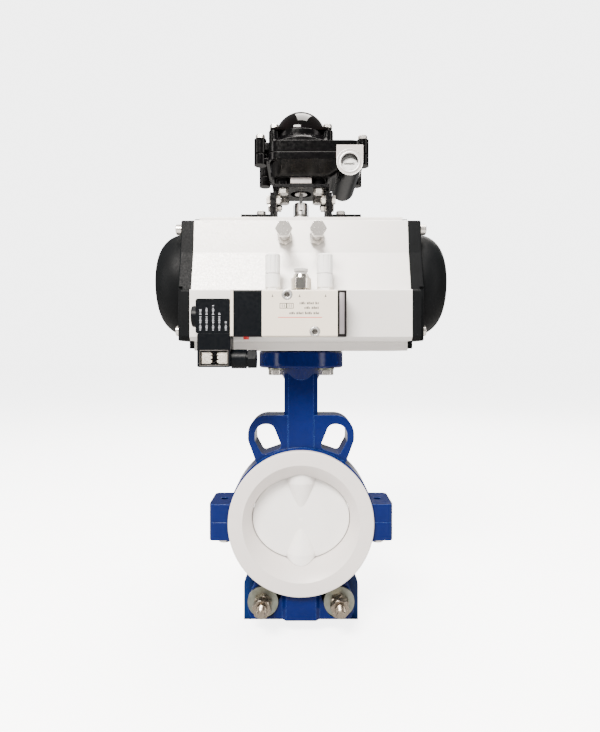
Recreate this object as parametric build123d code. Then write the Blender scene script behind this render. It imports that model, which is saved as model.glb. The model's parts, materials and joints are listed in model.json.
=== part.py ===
from build123d import *
import math
import os

# Pneumatic actuated wafer butterfly valve, DN 100. Millimetres.
# Origin: centre of the disc. X runs along the actuator, Y along the pipe, Z up the stem.

# pipe end
FACE_Y = 28.0            # raised liner faces, either side of the stem
LINER_RIM_R = 72.2
THROAT_R = 58.0
SEAT_X = 50.3            # oval seat: half-width across the stem
SEAT_Z = 42.7            # oval seat: half-height along the stem
SEAT_HALF = 9.0          # straight part of the seat along the pipe
BACKING_R = 55.3
BODY_BORE_R = 62.0
BODY_HALF = 22.0
DRUM_R = 73.5
SPIN_GAP = 0.35          # disc to seat

# stem
STEM_R = 9.0
RUN_FIT = 0.05
BUSH_R = 12.0
HUB_R = 15.5
HUB_TOP = 47.4
SQUARE = 14.0
STEM_TOP = 188.0
STEM_FOOT = -84.0

# body castings
LUG_X = 91.7
LUG_Z = 18.0
LUG_BOLT_X = 79.0
EAR_HALF = 16.0
EAR_X = 53.5
EAR_TOP = 106.0
EAR_FOOT = -99.0
NECK_HALF = 17.0
NECK_CHAMFER = 4.5
COLUMN_HALF = 19.0
FLANGE_Z = 154.0
FLANGE_R = 43.0
TOP_BOLT = 24.75         # half spacing of the four bolts on a 70 mm circle

# actuator
BASE_Z = 171.0
AXIS_Z = 238.5
BODY_X = 101.0
CAP_FLANGE = 12.5
CAP_X = 143.0
BORE_R = 50.0
PAD_TOP = 304.4
NAMUR_Y = -67.5
CAP_SCREW_Y = 40.0
CAP_SCREW_Z = 48.5
MODULE = 2.0
TEETH = 20
PITCH_R = MODULE * TEETH / 2
RACK_HALF = 14.0
BACKLASH = 0.30          # taken off each tooth's thickness
PISTON_FACE = 40.0
PISTON_T = 22.0
JOURNAL_R = 11.5
STOP_X = 15.0
STOP_Z = 277.0
STOP_TIP = -20.3
STUB_R = 6.6
STUB_TOP = 323.4

# solenoid valve
SOL_Y0 = -90.0
SOL_Y1 = -68.5
SOL_AXIS_Y = -79.0
SOL_AXIS_Z = 203.2
SOL_Z0 = 183.0
SOL_Z1 = 223.4

# switch box
BRACKET_TOP = 336.4
SEAM_Z = 362.0
COVER_TOP = 389.0
DOME_TOP = 416.6
DOME_R = 27.0


def block(x, y, z):
    """A box between two values on each axis."""
    centre = ((x[0] + x[1]) / 2, (y[0] + y[1]) / 2, (z[0] + z[1]) / 2)
    return Pos(*centre) * Box(x[1] - x[0], y[1] - y[0], z[1] - z[0])


def frame_at(axis, start, at):
    """A plane whose normal is the named axis, at a place on the other two axes."""
    if axis == "X":
        return Plane(origin=(start, at[0], at[1]), x_dir=(0, 1, 0), z_dir=(1, 0, 0))
    if axis == "Y":
        return Plane(origin=(at[0], start, at[1]), x_dir=(1, 0, 0), z_dir=(0, 1, 0))
    return Plane(origin=(at[0], at[1], start), x_dir=(1, 0, 0), z_dir=(0, 0, 1))


def rod(axis, radius, start, end, at=(0, 0)):
    """A round bar along an axis."""
    place = frame_at(axis, min(start, end), at)
    return place * Cylinder(radius, abs(end - start), align=(Align.CENTER, Align.CENTER, Align.MIN))


def ring(axis, outer, inner, start, end, at=(0, 0)):
    low, high = min(start, end), max(start, end)
    return rod(axis, outer, low, high, at) - rod(axis, inner, low - 1, high + 1, at)


def cone(axis, r_start, r_end, start, end, at=(0, 0)):
    place = frame_at(axis, start, at)
    return place * Cone(r_start, r_end, end - start, align=(Align.CENTER, Align.CENTER, Align.MIN))


def hexagon(axis, across_flats, start, end, at=(0, 0), turn=0.0):
    """A hexagon bar with its corners turned off at both ends."""
    low, high = min(start, end), max(start, end)
    corner_r = across_flats / math.sqrt(3)
    bar = extrude(frame_at(axis, low, at) * Rot(0, 0, turn) * RegularPolygon(corner_r, 6), high - low)
    turned = rod(axis, corner_r * 0.985, low, high, at)
    turned = chamfer(turned.edges().filter_by(GeomType.CIRCLE), min(corner_r * 0.09, (high - low) / 4))
    return bar & turned


def hex_screw(axis, across_flats, shank_r, head, tip, at=(0, 0)):
    """A hexagon-head screw: head is its two faces along the axis, from the free one to the seated one."""
    return hexagon(axis, across_flats, head[0], head[1], at) + rod(axis, shank_r, head[1], tip, at)


def socket_screw(axis, head_r, shank_r, head, tip, at=(0, 0)):
    """A socket-head screw with its hexagon recess."""
    recess = head[0] + (head[1] - head[0]) * 0.6
    body = rod(axis, head_r, head[0], head[1], at)
    rim = body.edges().filter_by(GeomType.CIRCLE)
    body = chamfer(rim, head_r * 0.1)
    body = body + rod(axis, shank_r, head[1], tip, at)
    return body - extrude(frame_at(axis, min(head[0], recess), at) * RegularPolygon(head_r * 0.58, 6),
                          abs(recess - head[0]))


def plate_xz(points, radii, y):
    """A plate outlined in X and Z by corner points, each with its own round, between two Y values."""
    outline = FilletPolyline(*points, radius=radii, close=True)
    return Pos(0, y[1], 0) * extrude(Plane.XZ * make_face(outline), y[1] - y[0])


def group(shapes):
    """Separate solids kept in one node."""
    return Compound(children=[s.solid() if len(s.solids()) == 1 else s for s in shapes])


def save(name, shape):
    os.makedirs("parts", exist_ok=True)
    shape.label = name
    export_step(shape, "parts/" + name + ".step")


# ---------------------------------------------------------------- valve

def oval_sweep(grow):
    """The space the disc sweeps as it turns: an ellipse turned about the stem."""
    half_x = SEAT_X + grow
    half_z = SEAT_Z + grow
    arc = EllipticalCenterArc((0, 0), half_x, half_z, start_angle=-90, arc_size=180)
    face = make_face([arc, Line((0, half_z), (0, -half_z))])
    return revolve(Plane.XZ * face, Axis.Z)


def throat():
    """The passage through the liner: an oval seat that opens to a round mouth at each face."""
    middle = extrude(Plane.XZ * Ellipse(SEAT_X, SEAT_Z), SEAT_HALF, both=True)
    passage = middle
    for side in (-1, 1):
        sections = []
        for y, half_x, half_z in ((SEAT_HALF, SEAT_X, SEAT_Z), (15.0, 51.4, 45.6), (FACE_Y, THROAT_R, THROAT_R)):
            sections.append(Plane(origin=(0, side * y, 0), x_dir=(1, 0, 0), z_dir=(0, 1, 0))
                            * Ellipse(half_x, half_z))
        passage = passage + loft(sections)
    return passage


def seat_liner():
    outer = rod("Y", BODY_BORE_R, -BODY_HALF, BODY_HALF)
    for side in (-1, 1):
        rim = rod("Y", LINER_RIM_R, side * BODY_HALF, side * FACE_Y)
        face_edge = rim.edges().filter_by(GeomType.CIRCLE).sort_by(Axis.Y)[-1 if side > 0 else 0]
        outer = outer + fillet(face_edge, 1.2)
    outer = outer - ring("Y", BODY_BORE_R + 1, BACKING_R, -12, 12)
    pockets = rod("Z", HUB_R + SPIN_GAP, -HUB_TOP - SPIN_GAP, HUB_TOP + SPIN_GAP)
    stem_hole = rod("Z", STEM_R + SPIN_GAP, -BODY_BORE_R - 2, BODY_BORE_R + 2)
    return outer - throat() - pockets - stem_hole


def seat_backing():
    return ring("Y", BODY_BORE_R, BACKING_R, -12, 12) - rod("Z", STEM_R + SPIN_GAP, -70, 70)


def disc_solid(half_middle, half_edge, grow, hub_r, hub_top):
    """A domed plate with a boss round each end of the stem, within the swept oval."""
    outline = make_face(Polyline((0, -half_middle), (26, -half_middle + 0.6), (SEAT_X, -half_edge),
                                 (SEAT_X, half_edge), (26, half_middle - 0.6), (0, half_middle), close=True))
    plate = revolve(outline, Axis.Y) & oval_sweep(grow)
    for side in (-1, 1):
        boss = rod("Z", hub_r, side * 36, side * hub_top)
        boss = boss + cone("Z", hub_r, 5.0, side * 36, side * 4) if side < 0 else \
            boss + cone("Z", 5.0, hub_r, 4, 36)
        plate = plate + (boss & rod("Y", 49, -30, 30))
    return plate


def stem():
    """The stem above and below the disc, with a square at its top."""
    bar = rod("Z", STEM_R, STEM_FOOT, -38) + rod("Z", STEM_R, 38, BASE_Z)
    square = block((-SQUARE / 2, SQUARE / 2), (-SQUARE / 2, SQUARE / 2), (BASE_Z, STEM_TOP))
    return bar + (square & rod("Z", STEM_R, BASE_Z, STEM_TOP))


def disc_stem():
    return disc_solid(4.5, 3.0, -5.0, HUB_R - 3.5, HUB_TOP) + stem()


def disc_cover():
    skin = disc_solid(7.5, 5.5, -SPIN_GAP, HUB_R, HUB_TOP)
    return skin - disc_solid(4.5, 3.0, -5.0, HUB_R - 3.5, HUB_TOP) - stem()


def stem_bore():
    return rod("Z", BUSH_R, -86, FLANGE_Z + 30)


def drum():
    """The ring that carries the liner, its faces' edges eased."""
    body = rod("Y", DRUM_R, -BODY_HALF, BODY_HALF)
    body = chamfer(body.edges().filter_by(GeomType.CIRCLE), 1.5)
    return body - rod("Y", BODY_BORE_R, -30, 30)


def side_lug(side):
    """A clamping lug with the split between the two castings at its middle."""
    lug = block((60, LUG_X), (-BODY_HALF, BODY_HALF), (-LUG_Z, LUG_Z))
    lug = fillet(lug.edges().filter_by(Axis.Z).group_by(Axis.X)[-1], 5.0)
    lug = lug - rod("Y", BODY_BORE_R + 4, -30, 30)
    if side < 0:
        lug = mirror(lug, about=Plane.YZ)
    return lug


def ear(side, top):
    """A locating ear: a slanted loop of plate with an egg-shaped hole."""
    reach = 106.0
    corners = [(0, 58), (45, 58), (EAR_X, 81), (EAR_X, reach), (0, reach)]
    plate = plate_xz(corners, [0, 3, 9, 19, 0], (-EAR_HALF, EAR_HALF))
    hole = plate_xz([(18.8, 73.0), (28.5, 97.2), (47.0, 97.2), (46.6, 80.0), (39.0, 66.0)],
                    [4.5, 8, 11, 7, 4], (-EAR_HALF - 1, EAR_HALF + 1))
    plate = plate - hole
    if side < 0:
        plate = mirror(plate, about=Plane.YZ)
    if not top:
        plate = mirror(plate, about=Plane.XY) & block((-70, 70), (-20, 20), (EAR_FOOT, 0))
    return plate


def eight_sided(half_x, half_y, cut, z):
    bar = block((-half_x, half_x), (-half_y, half_y), z)
    return chamfer(bar.edges().filter_by(Axis.Z), cut)


def upper_body():
    body = drum() + side_lug(1) + side_lug(-1)
    body = body & block((-100, 100), (-30, 30), (0, 80))
    body = body + ear(1, True) + ear(-1, True)
    neck = eight_sided(NECK_HALF, NECK_HALF, NECK_CHAMFER, (66, FLANGE_Z))
    body = body + neck
    body = body + cone("Z", 17.5, 24.0, FLANGE_Z - 12, FLANGE_Z)
    flange = rod("Z", FLANGE_R, FLANGE_Z, BASE_Z)
    flange = fillet(flange.edges().filter_by(GeomType.CIRCLE), 2.0)
    body = body + flange
    body = body - rod("Y", BODY_BORE_R, -30, 30) - stem_bore()
    for x in (-TOP_BOLT, TOP_BOLT):
        for y in (-TOP_BOLT, TOP_BOLT):
            body = body - rod("Z", 4.5, FLANGE_Z - 12, BASE_Z + 1, (x, y))
            body = body - rod("Z", 9.0, FLANGE_Z - 14, FLANGE_Z, (x, y))
    for x in (-LUG_BOLT_X, LUG_BOLT_X):
        body = body - rod("Z", 4.0, -1, LUG_Z + 1, (x, 0))
    return body


def lower_body():
    body = drum() + side_lug(1) + side_lug(-1)
    body = body & block((-100, 100), (-30, 30), (-80, 0))
    body = body + ear(1, False) + ear(-1, False)
    column = block((-COLUMN_HALF, COLUMN_HALF), (-EAR_HALF - 4, EAR_HALF), (EAR_FOOT, -66))
    column = chamfer(column.edges().filter_by(Axis.Z).group_by(Axis.Y)[0], 4.0)
    body = body + column
    body = body - rod("Y", BODY_BORE_R, -30, 30)
    body = body - rod("Z", BUSH_R, -86, -55)
    for x in (-LUG_BOLT_X, LUG_BOLT_X):
        body = body - rod("Z", 4.5, -LUG_Z - 1, 1, (x, 0))
    return body


def body_bolts():
    """Two socket screws from below that clamp the castings together; the upper lugs are tapped through."""
    return group([socket_screw("Z", 6.5, 4.0, (-LUG_Z - 8, -LUG_Z), LUG_Z - 5, (x, 0))
                  for x in (-LUG_BOLT_X, LUG_BOLT_X)])


def stem_bushes():
    """Two bushes in the neck and one in the foot."""
    return group([ring("Z", BUSH_R, STEM_R + RUN_FIT, low, low + 20) for low in (-84, 68, 100)])


def stem_packing():
    """Chevron packing rings in the top of the neck."""
    rings = []
    for step in range(4):
        low = 146.0 + step * 5.5
        rings.append(ring("Z", BUSH_R, STEM_R + RUN_FIT, low, low + 5.0))
    return group(rings)


def flange_bolts():
    bolts = []
    for x in (-TOP_BOLT, TOP_BOLT):
        for y in (-TOP_BOLT, TOP_BOLT):
            bolts.append(hex_screw("Z", 13.0, 4.0, (FLANGE_Z - 6.9, FLANGE_Z - 1.6), BASE_Z + 9, (x, y)))
    return group(bolts)


def flange_washers():
    washers = []
    for x in (-TOP_BOLT, TOP_BOLT):
        for y in (-TOP_BOLT, TOP_BOLT):
            washers.append(ring("Z", 8.0, 4.2, FLANGE_Z - 1.6, FLANGE_Z, (x, y)))
    return group(washers)


# ---------------------------------------------------------------- support bracket

STUD_X = 38.2
STUD_Z = -80.5
SUPPORT_X = 61.0
SUPPORT_T = 8.0
SUPPORT_FOOT = -116.0
SUPPORT_REACH = 76.0
FOOT_HOLE_X = 40.0
FOOT_HOLE_Y = 54.0


def support_bracket():
    """A folded plate behind the lower ears, with a foot turned back under the valve."""
    back = EAR_HALF + SUPPORT_T
    corners = [(-SUPPORT_X, SUPPORT_FOOT), (-SUPPORT_X, -76), (-48, -48), (48, -48), (SUPPORT_X, -76),
               (SUPPORT_X, SUPPORT_FOOT)]
    plate = plate_xz(corners, [0, 13, 5, 5, 13, 0], (EAR_HALF, back))
    plate = plate - rod("Y", DRUM_R + 0.5, 0, 40)
    foot = block((-SUPPORT_X, SUPPORT_X), (EAR_HALF, SUPPORT_REACH), (SUPPORT_FOOT, SUPPORT_FOOT + SUPPORT_T))
    bracket = plate + foot
    for x in (-STUD_X, STUD_X):
        bracket = bracket - rod("Y", 5.5, EAR_HALF - 1, back + 1, (x, STUD_Z))
    for x in (-FOOT_HOLE_X, FOOT_HOLE_X):
        bracket = bracket - rod("Z", 5.5, SUPPORT_FOOT - 1, SUPPORT_FOOT + SUPPORT_T + 1, (x, FOOT_HOLE_Y))
    return bracket


def support_studs():
    studs = []
    for x in (-STUD_X, STUD_X):
        stud = rod("Y", 5.0, -45, 40, (x, STUD_Z))
        studs.append(chamfer(stud.edges().filter_by(GeomType.CIRCLE), 0.9))
    return group(studs)


def support_nuts():
    """Two jammed nuts in front of each washer and one behind the bracket."""
    nuts = []
    for x in (-STUD_X, STUD_X):
        for low, turn in ((-35.2, 12), (-27.1, 41), (26.5, 5)):
            nut = hexagon("Y", 17.0, low, low + 8.0, (x, STUD_Z), turn)
            nuts.append(nut - rod("Y", 5.0, low - 1, low + 9, (x, STUD_Z)))
    return group(nuts)


def support_washers():
    washers = []
    for x in (-STUD_X, STUD_X):
        washers.append(ring("Y", 15.3, 5.2, -EAR_HALF - 3.1, -EAR_HALF, (x, STUD_Z)))
        washers.append(ring("Y", 10.0, 5.2, EAR_HALF + SUPPORT_T, 26.5, (x, STUD_Z)))
    return group(washers)


# ---------------------------------------------------------------- actuator

SHOULDER_Z = 294.6
SIDE_OUTLINE = [(46.0, 180.0), (64.0, 180.0), (67.5, 183.5), (67.5, 226.5), (61.0, 226.5),
                (51.0, 263.0), (47.0, SHOULDER_Z)]   # half outline of the extrusion, Y and Z
BOTTOM_PAD_Y = 46.0
TOP_PAD_Y = 22.0
END_TAP_DEPTH = 18.0
CAP_X0 = BODY_X + CAP_FLANGE
CAP_LEDGE_T = 8.0        # thinner foot of the cap, where it reaches out past the bore


def section_face(half, extra_top, extra_bottom, rounding):
    """A closed outline in Y and Z, the same on both sides of the stem."""
    right = list(extra_bottom) + half + list(extra_top)
    left = [(-y, z) for y, z in reversed(right)]
    outline = FilletPolyline(*(right + left), radius=rounding, close=True)
    return make_face(outline)


def along_x(face, start, end):
    """An outline drawn in Y and Z, drawn out along X."""
    return Pos(start, 0, 0) * extrude(Plane.YZ * face, end - start)


def actuator_body():
    face = section_face(SIDE_OUTLINE, [(TOP_PAD_Y, SHOULDER_Z), (TOP_PAD_Y, PAD_TOP)],
                        [(BOTTOM_PAD_Y, BASE_Z)], 0.8)
    body = along_x(face, -BODY_X, BODY_X)
    body = body - rod("X", BORE_R, -BODY_X - 1, BODY_X + 1, (0, AXIS_Z))
    body = body - rod("Z", JOURNAL_R + 2, BASE_Z - 1, PAD_TOP + 1)
    for x in (-STOP_X, STOP_X):
        body = body - rod("Y", 4.0, -60, -20, (x, STOP_Z))
    for side in (-1, 1):
        for y in (-CAP_SCREW_Y, CAP_SCREW_Y):
            for z in (AXIS_Z - CAP_SCREW_Z, AXIS_Z + CAP_SCREW_Z):
                body = body - rod("X", 3.0, side * (BODY_X - END_TAP_DEPTH), side * (BODY_X + 1), (y, z))
    for x in (-TOP_BOLT, TOP_BOLT):
        for y in (-TOP_BOLT, TOP_BOLT):
            body = body - rod("Z", 4.0, BASE_Z - 1, BASE_Z + 10, (x, y))
    for x in (-40, 40):
        for y in (-15, 15):
            body = body - rod("Z", 2.5, PAD_TOP - 9, PAD_TOP + 1, (x, y))
    for x in (-12, 12):
        body = body - rod("Y", 4.0, NAMUR_Y - 1, -30, (x, SOL_AXIS_Z))
    for x, z in ((-12, 219.2), (12, 187.2)):
        body = body - rod("Y", 2.5, NAMUR_Y - 1, NAMUR_Y + 8.6, (x, z))
    return body


def dome_profile(radius, end_x, corner, start_x):
    """Half outline of a round-shouldered dome, turned about the bore's axis."""
    corner_x = end_x - corner
    edge = [Line((start_x, 0), (start_x, radius)), Line((start_x, radius), (corner_x, radius)),
            RadiusArc((corner_x, radius), (end_x, radius - corner), corner),
            Line((end_x, radius - corner), (end_x, 0)), Line((end_x, 0), (start_x, 0))]
    return make_face(edge)


def end_cap(side):
    face = section_face(SIDE_OUTLINE[1:], [], [], 2.0)
    cap = along_x(face, BODY_X, CAP_X0)
    cap = chamfer(cap.edges().group_by(Axis.X)[-1], 1.0)
    for y in (-64, 64):
        cap = cap - block((BODY_X + CAP_LEDGE_T, CAP_X0 + 1), (y - 6, y + 6), (170, 230))
    cap = cap + block((BODY_X, BODY_X + 5), (-20, 20), (SHOULDER_Z - 1, PAD_TOP - 2))
    cap = cap + block((BODY_X, BODY_X + 5), (-44, 44), (173, 181))
    dome = revolve(dome_profile(52.0, CAP_X, 26.0, BODY_X), Axis.X)
    cap = cap + Pos(0, 0, AXIS_Z) * dome
    inside = revolve(dome_profile(46.5, CAP_X - 5.0, 22.0, BODY_X - 1), Axis.X)
    cap = cap - Pos(0, 0, AXIS_Z) * inside
    cap = cap - ring("X", 54.5, 50.5, BODY_X - 1, BODY_X + 1.6, (0, AXIS_Z))
    for y in (-CAP_SCREW_Y, CAP_SCREW_Y):
        for z in (AXIS_Z - CAP_SCREW_Z, AXIS_Z + CAP_SCREW_Z):
            cap = cap - rod("X", 3.3, BODY_X - 1, CAP_X0 + 1, (y, z))
            cap = cap - (rod("X", 6.0, CAP_X0, CAP_X, (y, z)))
    if side < 0:
        cap = mirror(cap, about=Plane.YZ)
    return cap


def cap_gaskets():
    return group([ring("X", 54.5, 50.5, side * BODY_X, side * (BODY_X + 1.6), (0, AXIS_Z)) for side in (-1, 1)])


def cap_screws():
    screws = []
    for y in (-CAP_SCREW_Y, CAP_SCREW_Y):
        for z in (AXIS_Z - CAP_SCREW_Z, AXIS_Z + CAP_SCREW_Z):
            screw = rod("X", 5.0, CAP_X0, CAP_X0 + 6, (y, z))
            screw = chamfer(screw.edges().group_by(Axis.X)[-1], 0.6)
            screw = screw + rod("X", 3.0, CAP_X0, BODY_X - END_TAP_DEPTH + 2, (y, z))
            socket = extrude(frame_at("X", CAP_X0 + 2.4, (y, z)) * RegularPolygon(2.9, 6), 5)
            screw = screw - socket
            screws.append(screw)
            screws.append(mirror(screw, about=Plane.YZ))
    return group(screws)


def involute_half_angle(radius, thickness):
    """Half of a tooth's angle at a radius, for a 20 degree pressure angle."""
    base_r = PITCH_R * math.cos(math.radians(20))
    pressure = math.acos(min(1.0, base_r / radius))
    at_pitch = math.tan(math.radians(20)) - math.radians(20)
    return thickness / (2 * PITCH_R) + at_pitch - (math.tan(pressure) - pressure)


def pinion_teeth(z):
    """Twenty involute teeth round the shaft, with a gap facing each rack at rest."""
    thickness = math.pi * MODULE / 2 - BACKLASH
    root_r = PITCH_R - 1.25 * MODULE
    tip_r = PITCH_R + MODULE
    base_r = PITCH_R * math.cos(math.radians(20)) + 0.01
    radii = [base_r + (tip_r - base_r) * step / 4 for step in range(5)]
    right = []
    for radius in radii:
        half = involute_half_angle(radius, thickness)
        right.append((radius * math.cos(half), -radius * math.sin(half)))
    left = [(x, -y) for x, y in right]
    foot_y = right[0][1]
    edges = [Line((root_r - 1, foot_y), right[0]), Spline(*right), Line(right[-1], left[-1]),
             Spline(*reversed(left)), Line(left[0], (root_r - 1, -foot_y)),
             Line((root_r - 1, -foot_y), (root_r - 1, foot_y))]
    tooth = Pos(0, 0, z[0]) * extrude(make_face(edges), z[1] - z[0])
    gear = rod("Z", root_r, z[0], z[1])
    pitch_angle = 360 / TEETH
    for index in range(TEETH):
        gear = gear + Rot(0, 0, 90 + pitch_angle * (index + 0.5)) * tooth
    return gear


def pinion():
    shaft = rod("Z", JOURNAL_R, BASE_Z + 0.3, PAD_TOP - 0.5) + rod("Z", 16.0, 194, 222)
    shaft = shaft + pinion_teeth((AXIS_Z - 16.5, AXIS_Z + 16.5))
    shaft = shaft + rod("Z", 9.0, PAD_TOP - 1, PAD_TOP + 4.4) + rod("Z", STUB_R, PAD_TOP, STUB_TOP)
    shaft = shaft + cone("Z", 9.0, STUB_R, PAD_TOP + 4.4, PAD_TOP + 7)
    socket = block((-SQUARE / 2, SQUARE / 2), (-SQUARE / 2, SQUARE / 2), (BASE_Z - 1, STEM_TOP + 1))
    slot = block((-2.0, 2.0), (-8, 8), (PAD_TOP + 10, STUB_TOP + 1))
    return shaft - socket - slot


def pinion_bearings():
    return group([ring("Z", JOURNAL_R + 2, JOURNAL_R + RUN_FIT, low, low + 13) for low in (172.5, 291.5)])


def pinion_circlip():
    """Thrust washer and spring clip that hold the pinion down on the top pad."""
    washer = ring("Z", 14.2, 9.0, PAD_TOP + 0.3, PAD_TOP + 2.3)
    clip = ring("Z", 11.6, 9.0, PAD_TOP + 2.3, PAD_TOP + 3.6)
    return group([washer + clip])


def stop_cam():
    """The cam that meets one stop bolt when closed and the other when open."""
    small, large, foot = 6.0, 20.0, -20.0
    relief = 18.4 / math.sqrt(2)
    edges = [Line((small, foot), (large, foot)), Line((large, foot), (24.5, -14)),
             ThreePointArc((24.5, -14), (19.95, 19.95), (-14, 24.5)), Line((-14, 24.5), (foot, large)),
             Line((foot, large), (foot, small)), ThreePointArc((foot, small), (-relief, -relief), (small, foot))]
    cam = Pos(0, 0, 264) * extrude(make_face(edges), 15)
    return cam - rod("Z", JOURNAL_R, 260, 290)


def stop_bolts():
    return group([hex_screw("Y", 13.0, 4.0, (-88, -82.7), STOP_TIP, (x, STOP_Z)) for x in (-STOP_X, STOP_X)])


def stop_nuts():
    nuts = []
    for x in (-STOP_X, STOP_X):
        nut = hexagon("Y", 13.0, -57.0, -50.5, (x, STOP_Z), 20)
        nuts.append(nut - rod("Y", 4.0, -60, -40, (x, STOP_Z)))
    return group(nuts)


def rack_arm():
    """The toothed arm of the left piston, on the far side of the pinion."""
    root_y = PITCH_R + 1.25 * MODULE
    tip_y = PITCH_R - MODULE
    pitch = math.pi * MODULE
    half = (pitch / 2 - BACKLASH) / 2
    slope = math.tan(math.radians(20))
    arm = block((-PISTON_FACE - 1, 38), (root_y, 36), (AXIS_Z - RACK_HALF, AXIS_Z + RACK_HALF))
    tip_half = half - MODULE * slope
    root_half = half + (root_y + 0.5 - PITCH_R) * slope
    for index in range(-5, 7):
        x = index * pitch
        if x + root_half > 38:
            continue
        tooth = make_face(Polyline((x - root_half, root_y + 0.5), (x - tip_half, tip_y), (x + tip_half, tip_y),
                                   (x + root_half, root_y + 0.5), close=True))
        arm = arm + Pos(0, 0, AXIS_Z - RACK_HALF) * extrude(tooth, 2 * RACK_HALF)
    return arm


def left_piston():
    """Piston head with its ring grooves, a lightened back and one toothed arm."""
    outer = -PISTON_FACE - PISTON_T
    head = rod("X", BORE_R - 0.5, outer, -PISTON_FACE, (0, AXIS_Z))
    head = head - rod("X", 38, outer - 1, outer + 12, (0, AXIS_Z))
    head = head + rod("X", 12, outer + 2, outer + 13, (0, AXIS_Z))
    for low, high in ((-59, -54), (-50, -46)):
        head = head - ring("X", BORE_R + 1, BORE_R - 3.5, low, high, (0, AXIS_Z))
    return head + rack_arm()


def piston_seals():
    """Guide ring and seal ring in the left piston's grooves."""
    guide = ring("X", BORE_R - RUN_FIT, BORE_R - 3.5, -59, -54, (0, AXIS_Z))
    seal = ring("X", BORE_R - RUN_FIT, BORE_R - 3.5, -50, -46, (0, AXIS_Z))
    return group([guide, seal])


def other_side(shape):
    """The matching piece of the right piston: the left one turned half round the stem."""
    return Rot(0, 0, 180) * shape


# ---------------------------------------------------------------- solenoid valve

SPOOL_R = 6.5
BODY_SOL_X = (-33.8, 31.6)
COIL_X = (-91.0, -61.0)
FIT_TOP = 243.0
SILENCER_SEAM = 238.0
FLUTES = 10


def solenoid_body():
    body = block(BODY_SOL_X, (SOL_Y0, SOL_Y1), (SOL_Z0, SOL_Z1))
    body = fillet(body.edges().filter_by(Axis.X), 1.2)
    body = body - rod("X", SPOOL_R, BODY_SOL_X[0] - 1, BODY_SOL_X[1] + 1, (SOL_AXIS_Y, SOL_AXIS_Z))
    for x in (-25, 0, 21):
        body = body - rod("Z", 5.0, SOL_AXIS_Z + 8, SOL_Z1 + 1, (x, SOL_AXIS_Y))
    for x in (-12, 12):
        body = body - rod("Y", 4.0, SOL_AXIS_Y + 5, SOL_Y1 + 1, (x, SOL_AXIS_Z))
    for x, z in ((-12, 219.2), (12, 187.2)):
        body = body - rod("Y", 2.7, SOL_Y0 - 1, SOL_Y1 + 1, (x, z))
        body = body - rod("Y", 4.6, SOL_Y0 - 1, SOL_Y0 + 5.2, (x, z))
    return body


def valve_spool():
    """The sliding spool: five lands on a thinner stem."""
    spool = rod("X", 3.2, -30, 22, (SOL_AXIS_Y, SOL_AXIS_Z))
    for x in (-28, -15.5, -4.5, 6.5, 19):
        spool = spool + rod("X", SPOOL_R - RUN_FIT, x - 2, x + 2, (SOL_AXIS_Y, SOL_AXIS_Z))
    return spool


def solenoid_screws():
    screws = []
    for x, z in ((-12, 219.2), (12, 187.2)):
        screws.append(socket_screw("Y", 4.2, 2.5, (SOL_Y0 + 0.2, SOL_Y0 + 5.2), NAMUR_Y + 8, (x, z)))
    return group(screws)


def port_gasket():
    """The plate gasket between the valve and the actuator's side."""
    plate = block((-32, 30), (SOL_Y1, NAMUR_Y), (SOL_Z0 + 1, SOL_Z1 - 1))
    for x in (-12, 12):
        plate = plate - rod("Y", 4.0, SOL_Y1 - 1, NAMUR_Y + 1, (x, SOL_AXIS_Z))
    for x, z in ((-12, 219.2), (12, 187.2)):
        plate = plate - rod("Y", 2.7, SOL_Y1 - 1, NAMUR_Y + 1, (x, z))
    return plate


def solenoid_end_cover():
    cover = block((BODY_SOL_X[1], 39.4), (SOL_Y0 + 0.5, SOL_Y1), (SOL_Z0, SOL_Z1))
    cover = fillet(cover.edges().filter_by(Axis.X), 1.5)
    return cover - block((BODY_SOL_X[1] + 1.3, 38.0), (SOL_Y0, SOL_Y0 + 1.2), (SOL_Z0 + 1.7, SOL_Z1 - 1.7))


def pilot_block():
    """The black pilot head, bored for the spool's end and for the override button."""
    head = block((-58.4, BODY_SOL_X[0]), (SOL_Y0 + 0.3, SOL_Y1), (SOL_Z0, SOL_Z1))
    head = fillet(head.edges().filter_by(Axis.X), 1.5)
    head = head - rod("X", 3.4, -59, BODY_SOL_X[0] + 1, (SOL_AXIS_Y, SOL_AXIS_Z))
    return head - rod("Z", 2.55, SOL_Z0 - 1, SOL_Z0 + 7, (-48, SOL_AXIS_Y - 4))


def override_button():
    return rod("Z", 2.5, SOL_Z0 - 2.4, SOL_Z0 + 4, (-48, SOL_AXIS_Y - 4))


def pilot_plate():
    return block((-61.0, -58.4), (SOL_Y0 - 0.6, SOL_Y1), (SOL_Z0 + 0.5, SOL_Z1)) \
        - rod("X", 3.4, -62, -58, (SOL_AXIS_Y, SOL_AXIS_Z))


def coil():
    """The encapsulated coil with the armature's bore."""
    shell = block(COIL_X, (SOL_Y0, SOL_Y1), (185.7, 215.8))
    shell = fillet(shell.edges().filter_by(Axis.Y), 2.0)
    return shell - rod("X", 3.6, COIL_X[0] + 3, COIL_X[1] + 1, (SOL_AXIS_Y, 201.0))


def coil_nut():
    """Knurled retaining nut on the end of the armature tube."""
    nut = rod("X", 9.5, COIL_X[0] - 4.8, COIL_X[0], (SOL_AXIS_Y, 201.0))
    return chamfer(nut.edges().group_by(Axis.X)[0], 0.8)


def coil_plunger():
    return rod("X", 3.5, COIL_X[0] + 6, COIL_X[1] - 0.5, (SOL_AXIS_Y, 201.0))


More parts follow.
